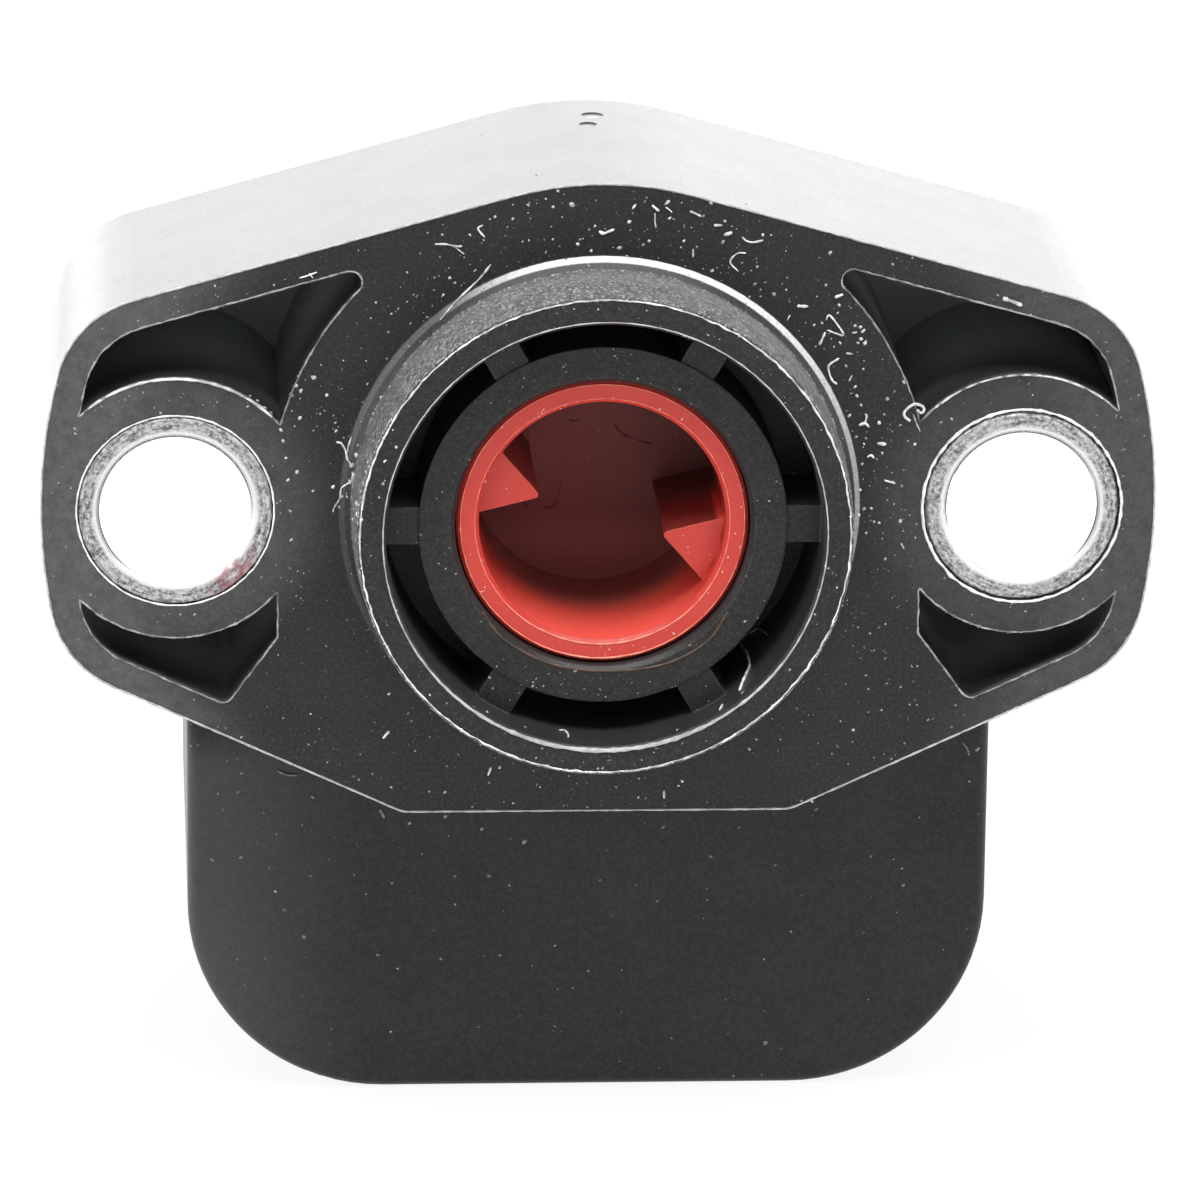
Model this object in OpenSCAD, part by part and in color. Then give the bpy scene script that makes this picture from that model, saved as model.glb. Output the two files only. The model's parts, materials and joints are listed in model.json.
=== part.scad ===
/* [Mounting flange] */
// Distance between the two bolt centres
bolt_spacing = 32; // [31:0.25:34]
// Thickness of the flange body, front face to back face
flange_depth = 13.45; // [13.2:0.05:16]
// Radius of the two end faces, measured from the rotor axis
end_r = 21.05; // [20.6:0.05:22.5]
// Rounding of the four outer corners
corner_r = 4; // [3:0.1:4.5]
// Radius of the crown over the collar
crown_r = 12.6; // [12.4:0.05:13]
// Slope of the two shoulders beside the crown, in degrees
shoulder_slope = 15.6; // [14:0.1:17]
// Width of the flat chin under the collar
chin_w = 14.8; // [13:0.1:17]
// Distance from the rotor axis down to the chin
chin_drop = 12; // [11.9:0.05:12.8]
// Slope of the two lower edges, in degrees
chin_slope = 24.8; // [23:0.1:26]
// Rounding of the two corners of the chin
chin_r = 1.1; // [0.5:0.1:2]

/* [Core-out pockets] */
// Thickness of the outer wall left around the pockets
rim_wall = 1.1; // [0.8:0.05:1.5]
// Depth of the pockets from the mounting face
pocket_depth = 11; // [6:0.25:12]
// Radius of the solid core that the pockets stop at
pocket_core_r = 12.5; // [12.3:0.05:12.8]
// Rounding of the tip of each upper pocket
pocket_tip_r = 0.45; // [0.3:0.05:0.6]
// Distance from the rotor axis to the upright web of the lower pockets
web_x = 12.15; // [11.9:0.05:12.6]
// Distance down to the bend of that web
web_drop = 5; // [4:0.1:5.6]
// Slope of the web below its bend, in degrees from upright
web_slope = 36; // [30:1:42]
// Rounding of the lowest corner of each lower pocket
pocket_low_r = 0.4; // [0.2:0.05:0.6]

/* [Bolt bushings] */
// Bore of the steel bushings
bolt_bore_d = 5.7; // [5.3:0.05:6]
// Wall of the steel bushings
bushing_wall = 0.9; // [0.7:0.05:1]
// Wall of the plastic boss around each bushing
boss_wall = 1.25; // [1:0.05:1.35]
// How much further the bosses reach into the upper pockets
boss_crown = 0.15; // [0:0.05:0.2]
// Chamfer on the ends of the bushings
bushing_chamfer = 0.15; // [0.05:0.05:0.3]

/* [Collar] */
// Diameter of the collar that locates in the throttle body
collar_d = 18.8; // [18.2:0.05:19.2]
// Height of the collar above the mounting face
collar_h = 3.95; // [3.6:0.05:5]
// Inside diameter of the collar
collar_bore_d = 16.4; // [16:0.05:16.8]
// Height at which the lead-in taper of the collar starts
lead_in_start = 2.2; // [1.5:0.05:2.8]
// How much the lead-in taper takes off the radius
lead_in = 0.1; // [0.05:0.01:0.2]
// Chamfer at the inner and outer edge of the collar's rim
rim_chamfer = 0.12; // [0.05:0.01:0.2]
// Foot of the collar where it meets the mounting face
collar_foot = 0.45; // [0.2:0.05:0.6]
// Outside diameter of the bearing ring inside the collar
ring_d = 13.85; // [13.6:0.05:14.2]
// Height of the bearing ring above the mounting face
ring_h = 2.3; // [2:0.05:3]
// Lead-in at the mouth of the bearing ring
ring_chamfer = 0.18; // [0.1:0.01:0.25]
// Number of ribs that carry the bearing ring
rib_count = 6; // [4:1:8]
// Width of those ribs
rib_w = 1.43; // [1:0.01:2]
// How far the ribs lie below the face of the bearing ring
rib_step = 0.1; // [0.05:0.01:0.5]
// Depth of the gaps between the ribs below the mounting face
gap_depth = 2; // [1:0.1:2.2]

/* [Rotor] */
// Outside diameter of the rotor's socket
rotor_d = 11; // [10.8:0.05:11.3]
// Bore of the rotor's socket
socket_bore_d = 9.3; // [9:0.05:9.5]
// Height of the rotor's face above the mounting face
rotor_face = 1.8; // [1.5:0.05:2.2]
// Depth of the rotor's socket
socket_depth = 8; // [7:0.1:8.2]
// Chamfer at the socket's mouth
socket_chamfer = 0.15; // [0.05:0.01:0.25]
// Radial running clearance of the rotor in its bearings
running_gap = 0.06; // [0.02:0.01:0.1]
// Direction of the first tang, in degrees from the right
tang_angle = 162.3; // [0:0.1:180]
// Angle that each tang takes up on the socket's wall
tang_span = 32.4; // [24:0.1:40]
// Distance from the rotor axis to the tip of a tang
tang_tip = 2.5; // [2:0.05:3]
// Rounding of the tip of a tang
tang_tip_r = 0.15; // [0.1:0.01:0.25]
// How far the tangs lie below the rotor's face
tang_recess = 0.95; // [0.2:0.05:1.2]
// Angle that the rotor turns through between its stops
rotor_travel = 100; // [80:1:110]

/* [Connector shroud] */
// Width of the connector shroud
shroud_w = 31.1; // [30:0.1:33]
// Distance from the rotor axis down to the bottom of the shroud
shroud_drop = 25.05; // [24:0.05:27]
// Distance of the shroud's closed face behind the mounting face
shroud_setback = 5; // [4:0.1:6]
// Distance of the shroud's open end behind the mounting face
shroud_end = 24; // [22:0.25:28]
// Rounding of the shroud's bottom corners
shroud_r = 7.6; // [6:0.1:9]
// Wall of the shroud
shroud_wall = 1.5; // [1.2:0.05:2]
// Rounding of the edge around the shroud's closed face
shroud_edge_r = 0.45; // [0.2:0.05:0.8]
// Distance between the blades of neighbouring terminals
blade_pitch = 5; // [4.2:0.1:6]
// Width of a terminal blade
blade_w = 1.5; // [1.2:0.05:1.8]
// Thickness of a terminal blade
blade_t = 0.64; // [0.5:0.02:0.8]

/* [Mechanism] */
// Wire thickness of the return spring
spring_wire = 0.5; // [0.3:0.05:0.6]
// Turns of the return spring
spring_turns = 3; // [2:1:3]
// Thickness of the circuit board
board_t = 0.8; // [0.6:0.05:1]
// Thickness of the rear cover
cover_t = 1.2; // [1:0.05:1.4]

/* [Hidden] */
$fn = 96;

black_plastic = [0.09, 0.09, 0.10];
red_plastic = [0.78, 0.16, 0.13];
steel = [0.72, 0.73, 0.75];
brass = [0.80, 0.66, 0.36];
board_green = [0.16, 0.36, 0.24];
carbon = [0.12, 0.12, 0.13];

// Joins of solids reach this far into each other, and cuts run this far past a face
lap = 0.02;
overrun = 1;

// Flange outline
chin_reach = chin_w / 2 * sin(chin_slope) + chin_drop * cos(chin_slope);

// Direction in which the sloping web of the lower pockets faces
web_normal = [-cos(web_slope), -sin(web_slope)];

// Marks of the moulding gate on the crown: x, distance from the back face and radius of each
gate_mark_places = [[0.2, 2.5, 0.42], [-0.05, 4, 0.34]];
gate_mark_depth = 0.1;

// Bushings
bushing_r = bolt_bore_d / 2 + bushing_wall;
boss_r = bushing_r + boss_wall;

// Axial stations of the mechanism, all behind the mounting face
front_wall_t = 1.4;
front_wall = gap_depth + front_wall_t;
washer_t = 0.4;
axial_play = 0.05;
disc_top = front_wall + washer_t + axial_play;
disc_t = 1.2;
disc_back = disc_top + disc_t;
spring_play = 0.05;
spring_top = disc_back + spring_play + spring_wire / 2;
coil_gap = 0.05;
spring_pitch = spring_wire + coil_gap;
spring_back = spring_top + spring_turns * spring_pitch;
carrier_gap = 0.15;
carrier_top = spring_back + spring_wire / 2 + carrier_gap;
carrier_t = 1;
carrier_back = carrier_top + carrier_t;
plate_t = 0.2;
plate_back = carrier_back + plate_t;
board_top = 9.75;
track_t = 0.08;
track_top = board_top - track_t;
board_back = board_top + board_t;
skirt_h = 0.8;
cover_top = board_back + skirt_h;
cover_back = cover_top + cover_t;
sealant_t = 0.5;

// Radii of the mechanism
bearing_r = rotor_d / 2 + running_gap;
chamber_r = 9.9;
board_seat_r = 10.5;
board_clearance = 0.1;
cover_seat_r = 11.1;
cover_clearance = 0.05;
disc_r = 8.2;
hub_r = 5.3;
pilot_r = 1.5;
pilot_reach = 0.7;
pilot_end = cover_top + pilot_reach;
carrier_r = 6.9;

// Stops: the lug on the rotor's disc runs between two posts on the chamber wall
lug_r = 9.5;
lug_span = 20;
lug_angle = 20;
post_span = 8;
post_margin = 1;
post_inner_r = 8.5;
post_reach = 0.25;
post_back = disc_back + post_reach;

// Return spring: both legs leave the coil on a tangent, and end at these radii
spring_r = 6.2;
anchor_leg_r = 9.4;
hook_leg_r = 7.4;
anchor_leg = sqrt(pow(anchor_leg_r, 2) - pow(spring_r, 2));
hook_leg = sqrt(pow(hook_leg_r, 2) - pow(spring_r, 2));
anchor_angle = 150;
anchor_rib_w = 0.7;
anchor_play = 0.05;
anchor_inner_r = 8.7;

// Tracks and wiper
collector_inner_r = 2.9;
collector_outer_r = 4.3;
collector_r = [collector_inner_r, collector_outer_r];
resistive_inner_r = 5;
resistive_outer_r = 6.8;
resistive_r = [resistive_inner_r, resistive_outer_r];
finger_w = 0.36;
finger_t = 0.12;
finger_gap = 0.1;
finger_reach = 2.6;
finger_clearance = 0.05;
wiper_angle = 100;
plate_w = 2.4;
plate_margin = 0.1;
stake_r = 0.35;
stake_head_r = 0.6;
stake_head_t = 0.2;
track_lead = 12;

// Terminals and rivets
terminal_t = 0.4;
terminal_w = 1.5;
eye_pitch = 3.2;
eye_drop = 8.1;
eye_margin = 0.6;
shelf_drop = 7.3;
shelf_top = 6.9;
jog_start = 11;
jog_end = 14;
blade_drop = 18.5;
blade_end = 19.4;
blade_tip = 0.4;
rivet_r = 0.45;
rivet_head_r = 0.7;
rivet_head_t = 0.25;
rivet_tail = 0.3;

// Connector cavity
cavity_top = 13.5;
cavity_drop = shroud_drop - shroud_wall;
cavity_r = shroud_r - shroud_wall;
shroud_front_t = 2;
cavity_floor = shroud_setback + shroud_front_t;
shroud_top = cavity_top - shroud_wall;
web_top = 8;
tower_w = 16;
tower_drop = 21;
tower_back = 12;
key_rib_x = 10;
key_rib_w = 1.2;
key_rib_h = 0.8;
latch_w = 6;
latch_h = 1.2;
latch_toe = 0.4;
latch_length = 4;
latch_setback = 2.5;

// Turns the front view, drawn with its depth towards the viewer, into the part's frame
module stand() {
    rotate([90, 0, 0]) children();
}

// Extrusion between two distances behind the mounting face
module slab(from, to) {
    translate([0, 0, -to]) linear_extrude(to - from) children();
}

// Cylinder between two distances behind the mounting face
module disc(r, from, to) {
    translate([0, 0, -to]) cylinder(r = r, h = to - from);
}

// Cone between two distances behind the mounting face
module cone(r_front, r_back, from, to) {
    translate([0, 0, -to]) cylinder(r1 = r_back, r2 = r_front, h = to - from);
}

module both_sides() {
    children();
    mirror([1, 0, 0]) children();
}

// What an outline of at most this reach has above the bolt line
module upper_half(reach) {
    intersection() {
        children();
        translate([-reach, 0]) square([2 * reach, reach]);
    }
}

function polar(r, a) = [r * cos(a), r * sin(a)];

// Centre of a circle of radius r that touches the end arc from inside, and a straight edge whose
// normal leans by slope from upright; up is 1 for an upper edge and -1 for a lower one
function corner_centre(reach, slope, r, arc_r, up) =
    let (across = sqrt(pow(arc_r - r, 2) - pow(reach - r, 2)))
    [(reach - r) * sin(slope) + across * cos(slope), up * ((reach - r) * cos(slope) - across * sin(slope))];

function edge_normal(slope, up) = [sin(slope), up * cos(slope)];

// Flange outline, drawn inwards by inset
module flange_outline(inset = 0) {
    arc_r = end_r - inset;
    r = corner_r - inset;
    top_reach = crown_r - inset;
    low_reach = chin_reach - inset;
    low_y = chin_drop - inset;
    top_centre = corner_centre(top_reach, shoulder_slope, r, arc_r, 1);
    low_centre = corner_centre(low_reach, chin_slope, r, arc_r, -1);
    top_foot = top_centre + r * edge_normal(shoulder_slope, 1);
    low_foot = low_centre + r * edge_normal(chin_slope, -1);
    top_touch = top_centre * arc_r / norm(top_centre);
    low_touch = low_centre * arc_r / norm(low_centre);
    chin_x = (low_reach - low_y * cos(chin_slope)) / sin(chin_slope);
    chin_round = max(chin_r - inset, 0);
    chin_run = chin_round * tan(chin_slope / 2);
    outside = 1.3;
    right = [
        top_reach * edge_normal(shoulder_slope, 1), top_foot, top_touch, top_touch * outside,
        low_touch * outside, low_touch, low_foot,
        [chin_x, -low_y] + chin_run * [cos(chin_slope), sin(chin_slope)], [chin_x - chin_run, -low_y]
    ];
    left = [for (i = [len(right) - 1:-1:0]) [-right[i][0], right[i][1]]];
    upper_half(top_reach) circle(top_reach);
    intersection() {
        circle(arc_r);
        polygon(concat(right, left));
    }
    both_sides() {
        translate(top_centre) circle(r);
        translate(low_centre) circle(r);
        if (chin_round > 0) translate([chin_x - chin_run, -low_y + chin_round]) circle(chin_round);
    }
}

// Centre of a circle of radius r in the corner between the sloping web and the lower edge's wall
function pocket_corner(r) =
    let (
        web_reach = web_normal * [web_x, -web_drop] - r,
        low_reach = chin_reach - rim_wall - r,
        low_normal = edge_normal(chin_slope, -1),
        turn = cos(web_slope - chin_slope)
    )
    [web_reach * low_normal[1] - low_reach * web_normal[1], low_reach * web_normal[0] - web_reach * low_normal[0]]
        / turn;

// The two pockets of the right-hand side
module pocket_outline() {
    tip_reach = crown_r - rim_wall - pocket_tip_r;
    tip_ring = pocket_core_r + pocket_tip_r - lap;
    tip_angle = 90 - shoulder_slope - acos(tip_reach / tip_ring);
    tip_centre = polar(tip_ring, tip_angle);
    tip_foot = tip_centre + pocket_tip_r * edge_normal(shoulder_slope, 1);
    tip_touch = polar(pocket_core_r, tip_angle);
    far = 2 * end_r;
    low_centre = pocket_corner(pocket_low_r);
    low_corner = pocket_corner(0);
    difference() {
        flange_outline(rim_wall);
        circle(pocket_core_r);
        translate([bolt_spacing / 2, 0]) circle(boss_r);
        translate([bolt_spacing / 2, 0]) upper_half(boss_r + boss_crown) circle(boss_r + boss_crown);
        polygon([[-far, -far], [-far, far], tip_foot + [0, far], tip_foot, tip_touch, [0, 0], [0, -far]]);
        polygon([
            [0, 0], [web_x, 0], [web_x, -web_drop],
            [web_x + (far - web_drop) * tan(web_slope), -far], [0, -far]
        ]);
        translate([bolt_spacing / 2 + boss_r - rim_wall, 0]) square([far, 2 * rim_wall], center = true);
        polygon([
            low_centre, low_centre + pocket_low_r * web_normal, 2 * low_corner - low_centre,
            low_centre + pocket_low_r * edge_normal(chin_slope, -1)
        ]);
    }
    translate(tip_centre) circle(pocket_tip_r);
    translate(low_centre) circle(pocket_low_r);
}

// Front view of the shroud between a top line and its rounded bottom
module shroud_outline(width, top, drop, r) {
    intersection() {
        union() {
            translate([-width / 2, -drop + r]) square([width, drop]);
            translate([-width / 2 + r, -drop]) square([width - 2 * r, drop]);
            both_sides() translate([width / 2 - r, -drop + r]) circle(r);
        }
        translate([-width, -top - 2 * drop]) square([2 * width, 2 * drop]);
    }
}

// What rounding an edge takes off, outside the quarter circle
module edge_profile(r) {
    difference() {
        translate([-r, -r]) square(r + overrun);
        translate([-r, -r]) circle(r);
    }
}

// What rounding takes off the sides, the bottom corners and the bottom of the shroud's front edge
module shroud_edge_cut() {
    top = -web_top + overrun;
    corner_y = -shroud_drop + shroud_r;
    translate([0, 0, -shroud_setback]) {
        both_sides() {
            translate([shroud_w / 2, top, 0])
                rotate([90, 0, 0]) linear_extrude(top - corner_y) edge_profile(shroud_edge_r);
            translate([shroud_w / 2 - shroud_r, corner_y, 0])
                rotate([0, 0, -90]) rotate_extrude(angle = 90)
                translate([shroud_r, 0]) edge_profile(shroud_edge_r);
        }
        translate([shroud_w / 2 - shroud_r, -shroud_drop, 0])
            rotate([90, 0, -90]) linear_extrude(shroud_w - 2 * shroud_r) edge_profile(shroud_edge_r);
    }
}

// Round wall section between an inner and an outer radius, as a wedge of the given angle
module ring_sector(r_in, r_out, middle, span, from, to) {
    translate([0, 0, -to])
        rotate([0, 0, middle - span / 2])
        rotate_extrude(angle = span)
        translate([r_in, 0]) square([r_out - r_in, to - from]);
}

// Stamped terminal: eye on the shelf, jogged strip down to the connector, blade to the rear
module terminal_solid(index) {
    eye_x = (index - 2) * eye_pitch;
    blade_x = (index - 2) * blade_pitch;
    half = terminal_w / 2;
    slab(board_top - terminal_t, board_top)
        polygon([
            [eye_x - half, -eye_drop + eye_margin + rivet_r], [eye_x + half, -eye_drop + eye_margin + rivet_r],
            [eye_x + half, -jog_start], [blade_x + half, -jog_end],
            [blade_x + half, -blade_drop - blade_t / 2], [blade_x - half, -blade_drop - blade_t / 2],
            [blade_x - half, -jog_end], [eye_x - half, -jog_start]
        ]);
    blade(blade_x);
}

// Blade with a chamfered tip, seen from above as a pointed strip
module blade(x) {
    translate([x, -blade_drop + blade_t / 2, 0])
        rotate([90, 0, 0])
        linear_extrude(blade_t)
        polygon([
            [-blade_w / 2, -board_top + terminal_t], [blade_w / 2, -board_top + terminal_t],
            [blade_w / 2, -blade_end + blade_tip], [blade_w / 2 - blade_tip, -blade_end],
            [-blade_w / 2 + blade_tip, -blade_end], [-blade_w / 2, -blade_end + blade_tip]
        ]);
}

module rivet_shank(index, r, to) {
    translate([(index - 2) * eye_pitch, -eye_drop, 0]) disc(r, board_top - terminal_t - rivet_tail, to);
}

// Collar with its foot, lead-in and rim chamfers, and the bearing ring on its ribs
module collar() {
    r = collar_d / 2;
    bore_r = collar_bore_d / 2;
    rotate_extrude() polygon([
        [bore_r, -gap_depth - lap], [r, -gap_depth - lap], [r, -lap], [r + collar_foot, -lap],
        [r + collar_foot, 0], [r, collar_foot], [r, lead_in_start], [r - lead_in, collar_h - rim_chamfer],
        [r - lead_in - rim_chamfer, collar_h], [bore_r + rim_chamfer, collar_h], [bore_r, collar_h - rim_chamfer]
    ]);
    difference() {
        union() {
            disc(ring_d / 2, -ring_h, gap_depth + lap);
            for (i = [0:rib_count - 1])
                rotate([0, 0, i * 360 / rib_count])
                translate([0, -rib_w / 2, -gap_depth - lap])
                cube([bore_r + lap, rib_w, ring_h - rib_step + gap_depth + lap]);
        }
        disc(bearing_r, -collar_h, front_wall);
        cone(bearing_r + ring_chamfer + lap, bearing_r, -ring_h - lap, -ring_h + ring_chamfer);
    }
}

// Closed front of the shroud, its walls, the terminal tower and the polarising ribs
module shroud() {
    difference() {
        union() {
            slab(shroud_setback, flange_depth)
                shroud_outline(shroud_w, web_top, shroud_drop, shroud_r);
            slab(shroud_setback, shroud_end)
                shroud_outline(shroud_w, shroud_top, shroud_drop, shroud_r);
        }
        slab(cavity_floor, shroud_end + overrun)
            shroud_outline(shroud_w - 2 * shroud_wall, cavity_top, cavity_drop, cavity_r);
        shroud_edge_cut();
    }
    slab(cavity_floor - lap, tower_back)
        translate([-tower_w / 2, -tower_drop]) square([tower_w, tower_drop - cavity_top + lap]);
    both_sides()
        slab(cavity_floor - lap, shroud_end - key_rib_h)
        translate([key_rib_x, -cavity_top - key_rib_h]) square([key_rib_w, key_rib_h + lap]);
    latch_ramp();
}

// Latch ramp on top of the shroud, near its open end
module latch_ramp() {
    back = shroud_end - latch_setback;
    translate([-latch_w / 2, -shroud_top, 0])
        rotate([90, 0, 90])
        linear_extrude(latch_w)
        polygon([[-lap, -back], [-lap, -back + latch_length], [latch_h, -back + latch_length], [latch_toe, -back]]);
}

// Two ribs on the chamber wall that hold the fixed leg of the return spring
module spring_anchor() {
    half_slot = spring_wire / 2 + anchor_play;
    rotate([0, 0, anchor_angle])
        for (side = [-1, 1])
            translate([
                sqrt(pow(anchor_inner_r, 2) - pow(spring_r, 2)),
                spring_r + side * (half_slot + anchor_rib_w / 2) - anchor_rib_w / 2,
                -board_top + lap
            ])
            cube([chamber_r, anchor_rib_w, board_top - spring_back + spring_wire]);
}

module stop_posts() {
    gap_start = lug_angle - lug_span / 2 - post_margin;
    gap_end = lug_angle + lug_span / 2 + rotor_travel + post_margin;
    for (middle = [gap_start - post_span / 2, gap_end + post_span / 2])
        ring_sector(post_inner_r, chamber_r + lap, middle, post_span, front_wall - lap, post_back);
}

// Shelf at the bottom of the chamber that carries the terminal eyes
module terminal_shelf() {
    intersection() {
        disc(chamber_r + lap, shelf_top, board_top);
        slab(shelf_top, board_top)
            translate([-chamber_r, -2 * chamber_r]) square([2 * chamber_r, 2 * chamber_r - shelf_drop]);
    }
}

module chamber() {
    difference() {
        disc(chamber_r, front_wall, board_top + lap);
        stop_posts();
        terminal_shelf();
        intersection() {
            spring_anchor();
            disc(chamber_r + lap, front_wall, board_top);
        }
    }
    disc(board_seat_r, board_top, cover_top + lap);
    disc(cover_seat_r, cover_top, flange_depth + overrun);
}

// Shallow round marks that the moulding gate left on the crown, near the back edge
module gate_marks() {
    for (mark = gate_mark_places)
        translate([mark[0], crown_r - gate_mark_depth, -flange_depth + mark[1]])
        rotate([-90, 0, 0]) cylinder(r = mark[2], h = overrun);
}

module housing() {
    color(black_plastic) stand() {
        difference() {
            union() {
                slab(0, flange_depth) flange_outline();
                shroud();
            }
            disc(collar_bore_d / 2, -overrun, gap_depth);
            disc(bearing_r, -overrun, front_wall + lap);
            chamber();
            both_sides() {
                slab(-overrun, pocket_depth) pocket_outline();
                translate([bolt_spacing / 2, 0, 0]) disc(bushing_r, -overrun, flange_depth + overrun);
            }
            for (i = [1:3]) {
                terminal_solid(i);
                rivet_shank(i, rivet_r, board_top);
            }
            gate_marks();
        }
        collar();
    }
}

module bushing(side) {
    r_in = bolt_bore_d / 2;
    c = bushing_chamfer;
    color(steel) stand()
        translate([side * bolt_spacing / 2, 0, 0])
        rotate_extrude() polygon([
            [r_in, -c], [r_in + c, 0], [bushing_r - c, 0], [bushing_r, -c],
            [bushing_r, -flange_depth + c], [bushing_r - c, -flange_depth],
            [r_in + c, -flange_depth], [r_in, -flange_depth + c]
        ]);
}

module bushing_left() {
    bushing(-1);
}

module bushing_right() {
    bushing(1);
}

// One tang: a wedge on the socket's wall with a rounded tip
module tang(angle) {
    wall = socket_bore_d / 2 + lap;
    half = tang_span / 2;
    // Half angle of the wedge at its tip
    lean = atan(wall * sin(half) / (wall * cos(half) - tang_tip));
    centre = tang_tip + tang_tip_r;
    touch = tang_tip_r * [-sin(lean), cos(lean)];
    rotate([0, 0, angle])
        slab(-rotor_face + tang_recess, socket_depth - rotor_face + lap) {
            polygon([
                [centre, 0] + touch, wall * [cos(half), sin(half)], [wall, 0],
                wall * [cos(half), -sin(half)], [centre + touch[0], -touch[1]]
            ]);
            translate([centre, 0]) circle(tang_tip_r);
        }
}

module rotor() {
    socket_r = socket_bore_d / 2;
    socket_floor = socket_depth - rotor_face;
    color(red_plastic) stand() {
        difference() {
            union() {
                disc(rotor_d / 2, -rotor_face + socket_chamfer, disc_top + lap);
                cone(rotor_d / 2 - socket_chamfer, rotor_d / 2, -rotor_face, -rotor_face + socket_chamfer);
                disc(disc_r, disc_top, disc_back);
                disc(hub_r, disc_back - lap, carrier_top);
                disc(pilot_r, carrier_top - lap, pilot_end);
                ring_sector(disc_r - overrun, lug_r, lug_angle, lug_span, disc_top, disc_back);
            }
            disc(socket_r, -rotor_face - overrun, socket_floor);
            cone(socket_r + socket_chamfer + lap, socket_r, -rotor_face - lap, -rotor_face + socket_chamfer);
        }
        tang(tang_angle);
        tang(tang_angle + 180);
        spring_hook();
    }
}

// Peg behind the disc that pushes the moving leg of the spring
module spring_hook() {
    peg_r = 0.45;
    peg_share = 0.8;
    rotate([0, 0, anchor_angle])
        translate([-hook_leg * peg_share, spring_r + spring_wire / 2 + anchor_play + peg_r, 0])
        disc(peg_r, disc_back - lap, disc_back + spring_wire + 2 * spring_play);
}

module thrust_washer() {
    washer_clearance = 0.15;
    washer_r = 7.8;
    color(brass) stand() difference() {
        disc(washer_r, front_wall, front_wall + washer_t);
        disc(rotor_d / 2 + washer_clearance, front_wall - overrun, front_wall + washer_t + overrun);
    }
}

// Centre line of the spring: leg on the rotor's peg, coil, leg in the housing's anchor
function spring_path() =
    let (steps = 24, total = spring_turns * steps, start = anchor_angle + 90)
    concat(
        [concat(polar(spring_r, start) - polar(hook_leg, anchor_angle), -spring_top)],
        [for (i = [0:total])
            concat(polar(spring_r, start - i * 360 / steps), -spring_top - i * spring_pitch / steps)],
        [concat(polar(spring_r, start) + polar(anchor_leg, anchor_angle), -spring_back)]
    );

// Round wire along a path of points
module wire(path, r, sides = 8) {
    last = len(path) - 1;
    function tangent(i) =
        let (d = path[min(i + 1, last)] - path[max(i - 1, 0)]) d / norm(d);
    function ring(i) =
        let (t = tangent(i), s = cross(t, [0, 0, 1]) / norm(cross(t, [0, 0, 1])), u = cross(s, t))
        [for (k = [0:sides - 1]) path[i] + r * cos(k * 360 / sides) * s + r * sin(k * 360 / sides) * u];
    points = [for (i = [0:last]) each ring(i)];
    sides_faces = [for (i = [0:last - 1], k = [0:sides - 1])
        let (n = (k + 1) % sides)
        [i * sides + k, (i + 1) * sides + k, (i + 1) * sides + n, i * sides + n]];
    caps = [[for (k = [0:sides - 1]) k], [for (k = [sides - 1:-1:0]) last * sides + k]];
    polyhedron(points, concat(sides_faces, caps), convexity = 10);
}

module return_spring() {
    color(steel) stand() wire(spring_path(), spring_wire / 2);
}

// Carrier pressed on the rotor's pilot, with two staked posts through the wiper plate
module wiper_carrier() {
    color(black_plastic) stand() difference() {
        union() {
            disc(carrier_r, carrier_top, carrier_back);
            stake_posts(stake_r, carrier_back - lap, plate_back + lap);
            stake_posts(stake_head_r, plate_back, plate_back + stake_head_t);
        }
        disc(pilot_r, carrier_top - overrun, carrier_back + overrun);
    }
}

module stake_posts(r, from, to) {
    for (at = [collector_r[0] + stake_head_r, resistive_r[1] - stake_head_r])
        rotate([0, 0, wiper_angle]) translate([at, 0, 0]) disc(r, from, to);
}

module wiper_plate() {
    color(brass) stand() difference() {
        rotate([0, 0, wiper_angle])
            slab(carrier_back, plate_back)
            translate([collector_r[0] - plate_margin, -plate_w / 2])
            square([resistive_r[1] - collector_r[0], plate_w]);
        stake_posts(stake_r, carrier_back - overrun, plate_back + overrun);
    }
}

// A row of sprung fingers that slope from the wiper plate down to a track
module brush(track) {
    count = floor((track[1] - track[0]) / (finger_w + finger_gap));
    drop = track_top - finger_clearance - plate_back - finger_t;
    slope = asin(drop / finger_reach);
    root = 0.5;
    color(brass) stand()
        rotate([0, 0, wiper_angle])
        translate([track[0], -plate_w / 2, -plate_back]) {
            translate([0, 0, -finger_t]) cube([track[1] - track[0], root, finger_t]);
            for (i = [0:count - 1])
                translate([finger_gap / 2 + i * (finger_w + finger_gap), finger_t, 0])
                rotate([slope, 0, 0])
                translate([0, -finger_reach, -finger_t]) cube([finger_w, finger_reach, finger_t]);
        }
}

module wiper_brush_outer() {
    brush(resistive_r);
}

module wiper_brush_inner() {
    brush(collector_r);
}

module track(radii) {
    tip_angle = wiper_angle - asin((plate_w / 2 + finger_reach) / radii[1]);
    color(carbon) stand()
        ring_sector(radii[0], radii[1], tip_angle + rotor_travel / 2, rotor_travel + 2 * track_lead,
            track_top, board_top);
}

module resistive_track() {
    track(resistive_r);
}

module collector_track() {
    track(collector_r);
}

module circuit_board() {
    board_hole_r = 2.2;
    color(board_green) stand() difference() {
        disc(board_seat_r - board_clearance, board_top, board_back);
        disc(board_hole_r, board_top - overrun, board_back + overrun);
        for (i = [1:3]) rivet_shank(i, rivet_r, board_back + overrun);
    }
}

module terminal(index) {
    color(brass) stand() difference() {
        terminal_solid(index);
        rivet_shank(index, rivet_r, board_back);
    }
}

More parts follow.
